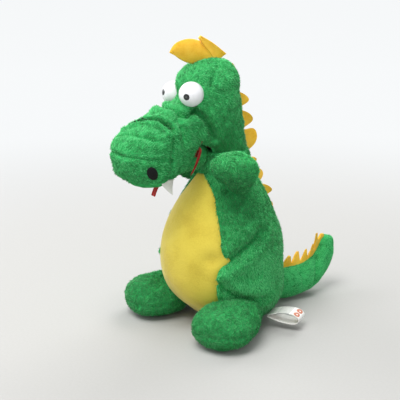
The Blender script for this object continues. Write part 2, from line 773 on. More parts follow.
def pile_tree(cut: PileCut) -> bpy.types.NodeTree:
    """A Geometry Nodes tree that grows pointed tufts of pile on a skin.

    Each tuft is a three-sided point on the skin. It leans along the skin's comb attribute, and its shade
    is drawn from patches of a noise, so that the pile is mottled as brushed pile is.
    """
    tree = bpy.data.node_groups.new("pile_tufts", "GeometryNodeTree")
    face = tree.interface
    face.new_socket("Geometry", in_out="INPUT", socket_type="NodeSocketGeometry")
    for name in ("Spacing", "Length", "Width", "Lift", "Scatter", "Patch"):
        face.new_socket(name, in_out="INPUT", socket_type="NodeSocketFloat")
    face.new_socket("Seed", in_out="INPUT", socket_type="NodeSocketInt")
    for number in range(4):
        face.new_socket(f"Shade {number}", in_out="INPUT", socket_type="NodeSocketMaterial")
    face.new_socket("Geometry", in_out="OUTPUT", socket_type="NodeSocketGeometry")
    given = add_node(tree, "NodeGroupInput").outputs
    thick = add_node(tree, "GeometryNodeInputNamedAttribute", {"Name": "pile"}, data_type="FLOAT").outputs[0]
    scatter = add_node(tree, "GeometryNodeDistributePointsOnFaces",
                       {"Mesh": given["Geometry"], "Distance Min": given["Spacing"], "Density Max": 4.5e6,
                        "Density Factor": thick, "Seed": given["Seed"]}, distribute_method="POISSON")
    comb = add_node(tree, "GeometryNodeInputNamedAttribute", {"Name": "comb"}, data_type="FLOAT_VECTOR").outputs[0]
    jitter = add_node(tree, "FunctionNodeRandomValue", {0: (-1, -1, -1), 1: (1, 1, 1), "Seed": given["Seed"]},
                      data_type="FLOAT_VECTOR").outputs[0]
    loose = add_node(tree, "ShaderNodeVectorMath", {0: jitter, "Scale": given["Scatter"]}, operation="SCALE")
    up = add_node(tree, "ShaderNodeVectorMath", {0: scatter.outputs["Normal"], "Scale": given["Lift"]},
                  operation="SCALE")
    lean = add_node(tree, "ShaderNodeVectorMath", {0: comb, 1: up.outputs[0]}, operation="ADD")
    aim = add_node(tree, "ShaderNodeVectorMath", {0: lean.outputs[0], 1: loose.outputs[0]}, operation="ADD")
    turn = add_node(tree, "FunctionNodeAlignRotationToVector", {"Vector": aim.outputs[0]}, axis="Z").outputs[0]

    place = add_node(tree, "GeometryNodeInputPosition").outputs[0]
    patches = add_node(tree, "ShaderNodeTexNoise", {"Vector": place, "Scale": given["Patch"], "Detail": 2.0})
    chance = add_node(tree, "FunctionNodeRandomValue", {2: -0.2, 3: 0.2, "Seed": 7}, data_type="FLOAT").outputs[1]
    softer = add_node(tree, "ShaderNodeMath", {0: patches.outputs[0], 1: 0.6, 2: 0.2}, operation="MULTIPLY_ADD")
    mottled = add_node(tree, "ShaderNodeMath", {0: softer.outputs[0], 1: chance}, operation="ADD").outputs[0]
    tone = add_node(tree, "GeometryNodeInputNamedAttribute", {"Name": "tone"}, data_type="FLOAT").outputs[0]
    shade = add_node(tree, "ShaderNodeMath", {0: mottled, 1: tone}, operation="ADD").outputs[0]
    marked = add_node(tree, "GeometryNodeStoreNamedAttribute",
                      {"Geometry": scatter.outputs["Points"], "Name": "shade", "Value": shade}, data_type="FLOAT")
    tuft = add_node(tree, "GeometryNodeMeshCone", {"Vertices": 3, "Radius Top": 0.0, "Radius Bottom": given["Width"],
                                                  "Depth": given["Length"]}, fill_type="NGON").outputs["Mesh"]
    size = add_node(tree, "FunctionNodeRandomValue", {2: 0.65, 3: 1.15, "Seed": 3}, data_type="FLOAT").outputs[1]
    tufts = add_node(tree, "GeometryNodeInstanceOnPoints",
                     {"Points": marked.outputs[0], "Instance": tuft, "Rotation": turn, "Scale": size})
    shape = add_node(tree, "GeometryNodeRealizeInstances", {"Geometry": tufts.outputs[0]}).outputs[0]
    shape = add_node(tree, "GeometryNodeSetShadeSmooth", {"Geometry": shape, "Shade Smooth": True}).outputs[0]
    drawn = add_node(tree, "GeometryNodeInputNamedAttribute", {"Name": "shade"}, data_type="FLOAT").outputs[0]
    for number, floor in enumerate((-1.0, 0.43, 0.53, 0.63)):
        chosen = add_node(tree, "FunctionNodeCompare", {0: drawn, 1: floor}, data_type="FLOAT",
                          operation="GREATER_THAN").outputs[0]
        shape = add_node(tree, "GeometryNodeSetMaterial", {"Geometry": shape, "Selection": chosen,
                                                           "Material": given[f"Shade {number}"]}).outputs[0]
    add_node(tree, "NodeGroupOutput", {0: shape})
    return tree


def stitch_tree() -> bpy.types.NodeTree:
    """A Geometry Nodes tree that lays short rounded stitches along a line of edges."""
    tree = bpy.data.node_groups.new("row_of_stitches", "GeometryNodeTree")
    face = tree.interface
    face.new_socket("Geometry", in_out="INPUT", socket_type="NodeSocketGeometry")
    for name in ("Spacing", "Length", "Radius"):
        face.new_socket(name, in_out="INPUT", socket_type="NodeSocketFloat")
    face.new_socket("Thread", in_out="INPUT", socket_type="NodeSocketMaterial")
    face.new_socket("Geometry", in_out="OUTPUT", socket_type="NodeSocketGeometry")
    given = add_node(tree, "NodeGroupInput").outputs
    curve = add_node(tree, "GeometryNodeMeshToCurve", {0: given["Geometry"]}).outputs[0]
    spaced = add_node(tree, "GeometryNodeCurveToPoints", {"Curve": curve, "Length": given["Spacing"]}, mode="LENGTH")
    turn = add_node(tree, "FunctionNodeAlignRotationToVector", {"Vector": spaced.outputs["Tangent"]}, axis="Z").outputs[0]
    ball = add_node(tree, "GeometryNodeMeshIcoSphere", {"Radius": 1.0, "Subdivisions": 2}).outputs["Mesh"]
    size = add_node(tree, "ShaderNodeCombineXYZ", {0: given["Radius"], 1: given["Radius"], 2: given["Length"]}).outputs[0]
    laid = add_node(tree, "GeometryNodeInstanceOnPoints",
                    {"Points": spaced.outputs["Points"], "Instance": ball, "Rotation": turn, "Scale": size})
    shape = add_node(tree, "GeometryNodeRealizeInstances", {"Geometry": laid.outputs[0]}).outputs[0]
    shape = add_node(tree, "GeometryNodeSetMaterial", {"Geometry": shape, "Material": given["Thread"]}).outputs[0]
    add_node(tree, "NodeGroupOutput", {0: shape})
    return tree


def set_inputs(modifier: bpy.types.Modifier, values: dict[str, object]) -> None:
    """Set a Geometry Nodes modifier's inputs, by the identifier of each named socket."""
    for item in modifier.node_group.interface.items_tree:
        if item.in_out == "INPUT" and item.name in values:
            modifier[item.identifier] = values[item.name]


def grow_pile(skin: bpy.types.Object, name: str, cut: PileCut, shades: Sequence[bpy.types.Material], density: np.ndarray,
              comb: np.ndarray, seed: int, tone: np.ndarray | float = 0.0) -> bpy.types.Object:
    """Grow a skin's pile as a piece of its own.

    Args:
        skin: the skin, whose comb and pile attributes are set here.
        name: the new piece's name.
        cut: the pile's sizes.
        shades: four pile materials, dark to light.
        density: how thick the pile stands at each vertex, 0 to 1.
        comb: which way it lies at each vertex.
        seed: what its random places are drawn from.
        tone: how much lighter or darker it's brushed at each vertex.

    Returns:
        The pile, a plain mesh of closed tufts.
    """
    normals = normals_of(skin)
    comb = comb - normals * (comb * normals).sum(1, keepdims=True)
    put_attribute(skin, "comb", unit(comb))
    put_attribute(skin, "pile", np.clip(density, 0, 1))
    put_attribute(skin, "tone", tone + np.zeros(len(normals)))
    pile = bpy.data.objects.new(name, skin.data.copy())
    bpy.context.scene.collection.objects.link(pile)
    modifier = pile.modifiers.new("pile", "NODES")
    modifier.node_group = pile_tree(cut)
    values = {"Spacing": cut.spacing * MM, "Length": cut.length * MM, "Width": cut.width * MM / 2, "Lift": cut.lift,
              "Scatter": cut.scatter, "Patch": 1 / (cut.patch * MM), "Seed": seed}
    set_inputs(modifier, values | {f"Shade {n}": shade for n, shade in enumerate(shades)})
    bake(pile)
    LOG.info("%s: %d tufts", name, len(pile.data.polygons) // 4)
    return pile


def finish_piece(piece: bpy.types.Object, body: str, replaces: Sequence[str] = ()) -> bpy.types.Object:
    """Put a finished piece on its body.

    Args:
        piece: the piece, with its final mesh.
        body: the body that it rides on.
        replaces: the frame's nodes that it stands for.

    Returns:
        The same piece.
    """
    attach(piece, body)
    if replaces:
        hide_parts(*replaces)
    LOG.info("%s rides on %s, %d faces", piece.name, body, len(piece.data.polygons))
    return piece


def distance_to(marks: np.ndarray, points: np.ndarray) -> np.ndarray:
    """Each point's distance to the nearest of some marks."""
    tree = KDTree(len(marks))
    for number, mark in enumerate(marks):
        tree.insert(mark, number)
    tree.balance()
    return np.array([tree.find(point)[2] for point in points])


def away_from(points: np.ndarray, centre: Sequence[float], radius: float, fade: float = 1.0) -> np.ndarray:
    """0 inside a ball, rising to 1 outside it."""
    gap = np.linalg.norm(points - np.array(centre, float), axis=1) - radius
    return np.clip(gap / fade, 0, 1)


# ---------------------------------------------------------------- the torso


@dataclass
class Torso:
    """The sewn body with its yellow belly."""

    wardrobe: Wardrobe
    levels: Rows = (
        (0, 0, 9, 9), (0, 17, -9, 22), (2.5, 25.5, -17, 30), (9, 32, -25, 35.5), (19, 37, -35, 39),
        (31, 38.5, -41, 40.5), (43, 39, -42.5, 40), (54, 38, -41, 38), (65, 35, -37, 35), (76, 30, -31.5, 31),
        (86, 24, -25, 26.5), (94, 20, -21.2, 21), (101, 18.2, -20, 17.2), (106, 15, -16, 13), (108, 8, -8, 6),
        (108.5, 0, -2, -2),
    )
    belly_outline: Rows = (
        (1.5, 20), (14, 24), (24, 26), (37, 27.6), (43, 29), (49.5, 32), (56, 28.8), (63, 26), (74, 21), (84, 14.8),
        (90.5, 10), (98, 3),
    )
    folds: tuple = (
        Fold(((28, -29, 48), (32, -24, 49.5), (34.5, -17, 55), (36, -8, 60), (36, 0, 65)), 3.6, 2.7, True, 0.6),
        Fold(((28, -29, 36), (30, -24, 30), (34, -17, 25), (38, -9, 23), (38, 0, 23)), 2.2, 2.2, True, 0.5),
        Fold(((35, -22, 41), (38, -12, 37), (39, -3, 38)), 0.9, 3.0, True, 0.2),
        PlaneSeam((0, 0, 0), (1, 0, 0), low=(-5, 0, 4), depth=1.4, width=1.6),
    )

    def haunches(self, points: np.ndarray) -> np.ndarray:
        """Swell the haunches and press the seat flat."""
        folded = points * (1, 1, 1)
        folded[:, 0] = np.abs(folded[:, 0])
        away = np.linalg.norm(folded - (36, 4, 20), axis=1) / 17
        points = points.copy()
        points[:, 0] += np.sign(points[:, 0]) * 3.2 * np.exp(-away * away)
        points[:, 2] = np.maximum(points[:, 2], 0)
        return points

    def build(self) -> None:
        """Make the green skin, its pile and the belly."""
        skin = reshape(upright_form("torso_skin", self.levels, 90), self.haunches)
        stuffed(skin, self.folds, [self.wardrobe.ground], 4.0, 1.6, 2, True)
        before = surface_of(skin)
        points, normals = points_of(skin), normals_of(skin)
        inside = self.in_belly(points)
        closeness = crease(skin, self.folds, inside)
        points = points_of(skin)
        lumps = ripple(points, 16, 1) * 0.35 + ripple(points, 6, 2) * 0.18
        room = self.belly_width(points[:, 2], points[:, 0] < 0) - np.abs(points[:, 0])
        deeper = inside * np.clip((room - 2) / 6, 0, 1)
        points += normals * (lumps * (1 - inside) - 1.3 * inside - 2.4 * deeper)[:, None]
        points[:, 2] = np.maximum(points[:, 2], 0)
        move_points(skin, points)
        reshape(skin, pressed_on_floor)
        self.add_belly(before)
        points = points_of(skin)
        density = (1 - inside) * (1 - 0.7 * closeness) * np.clip((points[:, 2] - 0.8) / 1.5, 0, 1)
        density *= away_from(points, NECK, 15.6) * away_from(points, (3, 37, 12.2), 9)
        for side in Side:
            density *= away_from(points, (side.value * 23.5, -9, 95.5), 8.5)
        sway = np.stack([ripple(points, 30, 5), ripple(points, 26, 6), ripple(points, 34, 7)], 1)
        comb = np.array((0, -0.15, -1.0)) + 0.35 * sway
        folded = points * (1, 1, 1)
        folded[:, 0] = np.abs(folded[:, 0])
        haunch = np.exp(-(np.linalg.norm((folded - (36, -9, 37)) / (20, 20, 14), axis=1) ** 2))
        under_arm = np.exp(-(np.linalg.norm((folded - (29, -14, 84)) / (13, 14, 8), axis=1) ** 2))
        tone = 0.04 + 0.36 * haunch - 0.08 * np.exp(-(((folded[:, 2] - 72) / 22) ** 2)) - 0.25 * under_arm
        pile = grow_pile(skin, "torso_pile", PileCut(1.9, 0.56, 0.56, 0.6, 0.45, 5.0), self.wardrobe.pile, density, comb, 11,
                         tone)
        finish_piece(skin, "torso",
                     ("side_panel_left", "side_panel_right", "seat_panel", "torso_filling", "pellet_pouch"))
        finish_piece(pile, "torso")

    def belly_width(self, heights: np.ndarray, right: np.ndarray | bool) -> np.ndarray:
        """The belly panel's half width at each height; it's sewn a little wider on the toy's right."""
        rows = np.array(self.belly_outline)
        wider = 5.5 * np.exp(-(((heights - 66) / 24) ** 2)) * right
        return np.interp(heights, rows[:, 0], rows[:, 1], left=0, right=0) + wider

    def in_belly(self, points: np.ndarray) -> np.ndarray:
        """1 under the belly panel, 0 outside it, with a soft edge."""
        room = self.belly_width(points[:, 2], points[:, 0] < 0) - np.abs(points[:, 0])
        return np.clip(room / 1.4, 0, 1) * (points[:, 1] < -3) * np.clip((points[:, 2] - 1) / 2, 0, 1)

    def add_belly(self, body: BVHTree) -> None:
        """Lay the belly panel on the front of the body, sewn in round its edge."""
        across, up = 72, 130
        rows = np.array(self.belly_outline)
        heights = np.linspace(rows[0, 0], rows[-1, 0], up)
        both = [self.belly_width(heights, side is Side.RIGHT) for side in (Side.RIGHT, Side.LEFT)]
        points, rise = [], []
        for height, right, left in zip(heights, *both):
            for share in np.linspace(-1, 1, across):
                width = right if share < 0 else left
                x = share * width
                hit, normal, _, _ = body.ray_cast(Vector((x, -90, height)) * MM, Vector((0, 1, 0)))
                if hit is None:
                    hit, normal, _, _ = body.find_nearest(Vector((x, -20, height)) * MM)
                edge = min(width * (1 - abs(share)), (height - heights[0]) * 0.8 + 0.3, (heights[-1] - height) + 0.2)
                points.append(np.array(hit) / MM)
                rise.append((np.array(normal), -0.9 + 1.5 * (1 - math.exp(-(edge / 1.7) ** 1.5))))
        points = np.array(points)
        out = unit(np.array([normal for normal, _ in rise]))
        lift = np.array([height for _, height in rise])
        dimple = np.exp(-(((points[:, 0] - 25) / 6) ** 2 + ((points[:, 2] - 50) / 5) ** 2)) * 1.8
        dimple += np.exp(-(((points[:, 0] - 21) / 5) ** 2 + ((points[:, 2] - 40) / 9) ** 2)) * 0.9
        lift += ripple(points, 22, 9) * 0.25 - dimple
        outer = points + out * lift[:, None]
        outer[:, 2] = np.maximum(outer[:, 2], 0.15)
        faces = []
        for row in range(up - 1):
            for step in range(across - 1):
                first = row * across + step
                faces.append((first, first + 1, first + across + 1, first + across))
        belly = new_object("belly_cloth", outer, faces, [self.wardrobe.velour])
        facing = normals_of(belly)[(up // 2) * across + across // 2]
        if facing[1] > 0:
            belly.data.flip_normals()
        modified(belly, "SOLIDIFY", thickness=1.2 * MM, offset=-1)
        belly.data.shade_smooth()
        finish_piece(belly, "torso", ["belly_panel"])


@dataclass
class NeckSleeve:
    """The ring of pile cloth between the body and the head."""

    wardrobe: Wardrobe

    def build(self) -> None:
        """Make the sleeve round the neck's filling."""
        rows = ((95, 0, 0, 0), (95.5, 13, -14, 10), (99, 16.8, -18.6, 14.8), (104, 17.6, -20, 15.6),
                (109, 17.2, -20, 14.6), (112, 15, -18, 12), (112.5, 0, -3, -3))
        skin = upright_form("neck_sleeve", rows, 40)
        skin.data.materials.append(self.wardrobe.ground)
        points = points_of(skin)
        density = ((points[:, 2] > 97) & (points[:, 2] < 111.5)).astype(float)
        pile = grow_pile(skin, "neck_pile", PileCut(1.9, 0.56, 0.6, 0.6, 0.45, 5.0), self.wardrobe.pile, density,
                         np.array((0, 0, -1.0)) + np.zeros_like(points), 12)
        finish_piece(skin, "neck", ["neck_filling"])
        finish_piece(pile, "neck")


# ---------------------------------------------------------------- the head


@dataclass
class Jaw:
    """The lower jaw: green below, red above, with a ribbon tongue."""

    wardrobe: Wardrobe
    joint: tuple[float, float, float] = (0, -21.5, 4.5)
    rows: Rows = (*ball_rows(9.5, 12.5), (0, 12.5, 9.5), (7, 11, 8), (15, 9.5, 5.4), (22, 7.5, 3.6), (26, 4, 1.9),
                  (27, 0, 0))
    slope: float = 27.0
    tongue_path: Rows = ((-40, -9.6), (-43, -11.2), (-45.4, -12.9), (-47, -15.2), (-48.6, -19.2))

    def form(self, name: str) -> bpy.types.Object:
        """The jaw's outer form, in the toy's frame."""
        aim = (0, -math.cos(math.radians(self.slope)), -math.sin(math.radians(self.slope)))
        return reshape(limb_form(name, self.rows, aim, self.joint, 40), head_to_world)

    def room(self, extra: float) -> bpy.types.Object:
        """The jaw's form made larger all round, to cut its room out of the head."""
        cutter = self.form("jaw_room")
        normals = normals_of(cutter)
        move_points(cutter, points_of(cutter) + normals * extra)
        cutter.data.materials.append(self.wardrobe.ground)
        cutter.data.materials.append(self.wardrobe.red)
        for polygon in cutter.data.polygons:
            polygon.material_index = 1
        return cutter

    def build(self) -> None:
        """Make the jaw, its lining and its tongue."""
        skin = stuffed(self.form("jaw_cloth"), (), [self.wardrobe.ground, self.wardrobe.red], 2.6, 0.5, 1)
        normals = np.array([tuple(p.normal) for p in skin.data.polygons])
        middles = np.array([tuple(p.center) for p in skin.data.polygons]) / MM
        tilt = math.radians(self.slope)
        up = normals[:, 2] * math.cos(tilt) - normals[:, 1] * math.sin(tilt)
        red = (up > 0.35) & (middles[:, 1] < self.joint[1] - 4)
        for polygon, chosen in zip(skin.data.polygons, red):
            polygon.material_index = int(chosen)
        points, facing = points_of(skin), normals_of(skin)
        upward = facing[:, 2] * math.cos(tilt) - facing[:, 1] * math.sin(tilt)
        density = np.clip((0.1 - upward) / 0.2, 0, 1)
        comb = np.array((0.1, 0.2, -1.0)) + np.zeros_like(points)
        pile = grow_pile(skin, "jaw_pile", PileCut(1.2, 0.5, 0.6, 0.5, 0.35), self.wardrobe.pile, density, comb, 13)
        finish_piece(skin, "jaw", ("jaw_skin", "jaw_lining", "jaw_filling"))
        finish_piece(pile, "jaw")
        self.add_tongue()

    def add_tongue(self) -> None:
        """A short ribbon that hangs over the lip, cut square."""
        line = smooth_rows(self.tongue_path, 22)
        points, faces = [], []
        for number, (y, z) in enumerate(line):
            ahead = line[min(number + 1, len(line) - 1)] - line[max(number - 1, 0)]
            back = np.array((ahead[1], -ahead[0])) / max(np.hypot(*ahead), 1e-9)
            for share in np.linspace(-1, 1, 9):
                cup = 0.35 * (share ** 2) * number / len(line)
                points.append((share * 2.3 + 0.3 * number / len(line), y + back[0] * cup, z + back[1] * cup))
        for row in range(len(line) - 1):
            for step in range(8):
                first = row * 9 + step
                faces.append((first, first + 1, first + 10, first + 9))
        tongue = new_object("tongue_ribbon", head_to_world(points), faces, [self.wardrobe.ribbon])
        modified(tongue, "SOLIDIFY", thickness=0.7 * MM, offset=0)
        modified(tongue, "SUBSURF", levels=1, render_levels=1)
        finish_piece(tongue, "jaw", ["tongue"])


@dataclass
class Head:
    """Cranium and snout in one stuffed skin, with its folds, eyes, nostrils and fangs."""

    wardrobe: Wardrobe
    jaw: Jaw
    neck_ball: float = 16.5
    levels: Rows = (
        (6, 16.8, -0.6), (14, 17.4, -3.2), (24, 18.8, -6.2), (34, 20, -9), (44, 20.6, -10.6), (52, 19, -10),
        (58.5, 13.8, -8.8), (62.5, 5, -7.8), (63, 0, -7.5),
    )
    snout: Rows = (
        (-12, 18, 0, 0), (-13.5, 18, 12, 10), (-20, 18, 19.5, 15), (-31, 15.6, 22, 17.5), (-43, 11.4, 23, 19),
        (-55, 6.9, 20.1, 19.4), (-65, 6, 15.3, 16.6), (-72.5, 7, 9, 10.4), (-76, 8, 0, 0),
    )
    eyes: tuple = ((Side.LEFT, (11, -28, 43), (0.6, -0.79, -0.08)), (Side.RIGHT, (-11, -27.6, 40.4), (-0.08, -0.98, 0.16)))
    eye_radius: float = 7.55
    folds: tuple = (
        Fold(((8, -8, 62), (13, -13, 56), (18, -19, 47.5)), 0.9, 0.9, True, 0.3, True),
        Fold(((15, -27, 34), (15, -21, 28), (15, -17, 22), (15, -15, 16)), 2.8, 1.8, True, 0.6, True),
        Fold(((-14, -27, 35), (-12, -34, 29), (-5, -39, 33.6), (5, -39, 33.6), (12, -34, 29), (14, -27, 35)),
             3.0, 1.5, False, 0.3, True),
        Fold(((15, -44, 23), (12, -46, 25.5), (5, -51, 28), (-4, -57, 28.5), (-11, -60, 23)), 4.2, 1.0, False, 0.5, True),
        Fold(((14, -52, 17), (9, -60, 18), (3, -64, 20), (-8, -68, 19)), 1.3, 1.4, False, 0.4, True),
        Fold(((12, -38, 31), (16, -38, 24), (18, -37, 18)), 1.8, 1.7, True, 0.4, True),
        PlaneSeam((0, -44.5, 12), (0, 1, -0.06), low=(-30, -60, -12), high=(30, -30, 22), depth=1.4, width=1.0,
                  lip=0.3, head=True),
        PlaneSeam((0, -57, 8), (0, 0.147, 1), low=(-30, -90, -5), high=(30, -44, 20), depth=1.1, width=0.9, lip=0.3,
                  head=True),
    )
    sewn: tuple = (2, 3, 6, 7)

    def form(self) -> bpy.types.Object:
        """The joined form of the cranium and the snout, cut off behind the mouth."""
        rows = []
        for step in range(4):
            angle = math.radians(80 * step / 3)
            radius = self.neck_ball * math.sin(angle)
            rows.append((-self.neck_ball * math.cos(angle), radius, -radius, radius))
        rows += [(height, radius, middle - radius, middle + radius) for height, radius, middle in self.levels]
        cranium = reshape(upright_form("head_cloth", rows, 80), head_to_world)
        y, height, tall, wide = smooth_rows(self.snout, 60).T
        zero = np.zeros_like(y)
        snout = loft("snout_form", np.stack([zero, y, height], 1),
                     np.stack([-np.maximum(wide, 0.01), zero, zero], 1),
                     np.stack([zero, zero, np.maximum(tall, 0.01)], 1), 72, 2.5)
        back = new_box("cheek_back", (-40, 0, -40), (40, 30, 0))
        tilt = Matrix.Translation(Vector((0, -24, 13.5)) * MM) @ Matrix.Rotation(math.radians(-21), 4, "X")
        back.data.transform(tilt)
        modified(snout, "BOOLEAN", object=back, operation="DIFFERENCE", solver="MANIFOLD")
        reshape(snout, head_to_world)
        joined = cranium
        modifier = joined.modifiers.new("join", "BOOLEAN")
        modifier.object, modifier.operation, modifier.solver = snout, "UNION", "MANIFOLD"
        bake(joined)
        for helper in (back, snout):
            bpy.data.objects.remove(helper)
        return joined

    def build(self) -> None:
        """Make the head's skin, pile and trim."""
        skin = self.form()
        stuffed(skin, [self.folds[n] for n in self.sewn], [self.wardrobe.ground, self.wardrobe.red], 3.4, 1.3, 2)
        room = self.jaw.room(2.6)
        modified(skin, "BOOLEAN", object=room, operation="DIFFERENCE", solver="MANIFOLD")
        bpy.data.objects.remove(room)
        lined = np.zeros(len(skin.data.vertices), bool)
        for polygon in skin.data.polygons:
            if polygon.material_index == 1:
                lined[list(polygon.vertices)] = True
        closeness = crease(skin, self.folds, lined)
        points, normals = points_of(skin), normals_of(skin)
        lumps = ripple(points, 13, 21) * 0.4 + ripple(points, 5, 22) * 0.18
        move_points(skin, points + normals * (lumps * ~lined)[:, None])
        skin.data.shade_smooth()
        self.add_pile(skin, closeness, lined)
        finish_piece(skin, "head", (
            "head_panel_left", "head_panel_right", "snout_bridge_panel", "nose_top_panel", "nose_bottom_panel",
            "head_filling", "snout_filling", "mouth_lining_upper"))
        surface = surface_of(skin)
        self.add_mouth_edge(surface)
        self.add_stitches(surface)
        self.add_eyes()
        self.add_nostrils(surface)
        self.add_fangs()

    def add_pile(self, skin: bpy.types.Object, closeness: np.ndarray, lined: np.ndarray) -> None:
        """Grow the head's pile, combed back from the nose and down the neck."""
        points = points_of(skin)
        density = (1 - 0.85 * closeness) * (~lined)
        gaps = distance_to(points[lined], points)
        density *= np.clip((gaps - 0.9) / 0.8, 0, 1)
        for _, centre, _ in self.eyes:
            density *= away_from(points, head_to_world([centre])[0], self.eye_radius + 0.3, 0.6)
        for side in Side:
            low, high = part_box(f"nostril_{side.word}")
            density *= away_from(points, (low + high) / 2 / MM, 3.2, 0.6)
        density *= np.clip((points[:, 2] - 99.5) / 1.5 + (points[:, 1] < -22), 0, 1)
        nose = head_to_world([(0, -76, 9)])[0]
        back = unit(points - nose)
        share = np.clip((points[:, 1] + 34) / 20, 0, 1)[:, None]
        sway = np.stack([ripple(points, 24, 25), ripple(points, 20, 26), ripple(points, 26, 27)], 1)
        comb = back * (1 - share) + np.array((0, 0.3, -1.0)) * share + 0.4 * sway
        upward = np.clip(normals_of(skin)[:, 2], 0, 1)
        neck = np.clip((points[:, 1] + 26) / 10, 0, 1) * np.clip((142 - points[:, 2]) / 18, 0, 1)
        tone = 0.12 * upward - 0.22 * neck
        pile = grow_pile(skin, "head_pile", PileCut(1.5, 0.54, 0.54, 0.6, 0.5, 3.5), self.wardrobe.pile, density, comb, 14,
                         tone)
        finish_piece(pile, "head")

    def add_mouth_edge(self, surface: BVHTree) -> None:
        """The edge of the red lining, which shows as a thin line behind the snout."""
        path = ((15, -22.6, 15), (15, -23.4, 12), (15, -24.4, 8.5), (15, -25.9, 4.3), (15, -28, -0.6), (15, -31, -5.2))
        for side in Side:
            line = smooth_rows(path, 36)
            laid = []
            for x, y, z in line:
                begin, end = head_to_world([(side.value * 60, y, z), (0, y, z)])
                hit = surface.ray_cast(Vector(begin * MM), Vector(end - begin).normalized())[0]
                laid.append(np.array(hit) / MM if hit is not None else head_to_world([(side.value * x, y, z)])[0])
            laid = np.array(laid)
            for _ in range(6):
                laid[1:-1] = (laid[:-2] + 2 * laid[1:-1] + laid[2:]) / 4
            forward = unit(np.gradient(laid, axis=0))
            out = unit(head_to_world([(side.value, 0, 0)])[0] - NECK)
            sideways = unit(np.cross(forward, out))
            outward = np.cross(sideways, forward)
            outward *= np.sign(outward @ out)[:, None]
            swell = (0.15 + 0.85 * np.sin(np.linspace(0, math.pi, len(laid))) ** 0.7)[:, None]
            piece = loft(f"mouth_edge_{side.word}", laid + outward * 0.2, sideways * swell * 0.85, outward * swell * 0.8, 20)
            piece.data.materials.append(self.wardrobe.red)
            finish_piece(piece, "head")

    def add_stitches(self, surface: BVHTree) -> None:
        """Dark hand stitches in the deep fold over the snout."""
        line = head_to_world(smooth_rows(self.folds[3].path, 40))
        found = [surface.find_nearest(Vector(point * MM)) for point in line]
        laid = np.array([np.array(hit) / MM + np.array(normal) * 1.3 for hit, normal, _, _ in found])
        mesh = bpy.data.meshes.new("snout_stitches")
        mesh.from_pydata((laid * MM).tolist(), [(n, n + 1) for n in range(len(laid) - 1)], [])
        piece = bpy.data.objects.new("snout_stitches", mesh)
        bpy.context.scene.collection.objects.link(piece)
        modifier = piece.modifiers.new("stitches", "NODES")
        modifier.node_group = stitch_tree()
        set_inputs(modifier, {"Spacing": 2.9 * MM, "Length": 1.1 * MM, "Radius": 0.5 * MM,
                              "Thread": self.wardrobe.green_thread})
        bake(piece)
        finish_piece(piece, "head")

    def add_eyes(self) -> None:
        """Polished white balls with a black inset pupil."""
        for side, centre, look in self.eyes:
            middle = head_to_world([centre])[0]
            rows = [(-math.cos(a), math.sin(a), math.sin(a)) for a in np.linspace(0, math.pi, 13)]
            scaled = np.array(rows) * self.eye_radius
            ball = limb_form(f"eye_ball_{side.word}", scaled, (0, -1, 0.001), middle, 49)
            ball.data.materials.append(self.wardrobe.eye)
            finish_piece(ball, "head", [f"eye_{side.word}"])
            aim = unit(head_to_world([look])[0] - NECK)
            for name, radius, proud, material, stands in (
                    ("pupil_inset", 1.95, 0.12, self.wardrobe.pupil, [f"pupil_{side.word}"]),
                    ("pupil_dot", 0.6, 0.2, self.wardrobe.glint, [])):
                edge = math.sqrt(self.eye_radius ** 2 - radius ** 2)
                rise = self.eye_radius + proud - edge
                dome = [(edge - 0.6, 0, 0), (edge - 0.6, radius, radius), (edge, radius, radius),
                        (edge + rise * 0.55, radius * 0.72, radius * 0.72), (edge + rise * 0.9, radius * 0.35, radius * 0.35),
                        (edge + rise, 0, 0)]
                piece = limb_form(f"{name}_{side.word}", dome, aim, middle, 30)
                piece.data.materials.append(material)
                finish_piece(piece, "head", stands)
            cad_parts[f"eye_washer_{side.word}"].data.materials.clear()
            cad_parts[f"eye_washer_{side.word}"].data.materials.append(self.wardrobe.washer)

    def add_nostrils(self, surface: BVHTree) -> None:
        """Ovals of satin stitch, each thread laid beside the last."""
        for side in Side:
            low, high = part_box(f"nostril_{side.word}")
            hit, normal, _, _ = surface.find_nearest((low + high) / 2)
            out = np.array(normal)
            lean = np.array((0, -0.6, 1.0))
            upward = unit(lean - out * (out @ lean))
            sideways = np.cross(upward, out)
            middle = np.array(hit) / MM + out * 0.5
            points, faces, rings, spokes = [middle + out * 1.35], [], 14, 64
            for ring in range(1, rings + 1):
                share = ring / rings
                for spoke in range(spokes):
                    angle = 2 * math.pi * spoke / spokes
                    x, y = 3.1 * share * math.cos(angle), 5.0 * share * math.sin(angle)
                    height = 1.35 * math.sqrt(max(1 - share ** 2, 0)) + 0.09 * math.sin(y * 2 * math.pi / 0.55) * (1 - share)
                    points.append(middle + sideways * x + upward * y + out * height)
            points.append(middle - out * 1.2)
            for spoke in range(spokes):
                after = (spoke + 1) % spokes
                faces.append((0, 1 + spoke, 1 + after))
                for ring in range(rings - 1):
                    low_ring, high_ring = 1 + ring * spokes, 1 + (ring + 1) * spokes
                    faces.append((low_ring + spoke, high_ring + spoke, high_ring + after, low_ring + after))
                last = 1 + (rings - 1) * spokes
                faces.append((len(points) - 1, last + after, last + spoke))
            piece = new_object(f"nostril_embroidery_{side.word}", np.array(points), faces, [self.wardrobe.black_thread])
            finish_piece(piece, "head", [f"nostril_{side.word}"])

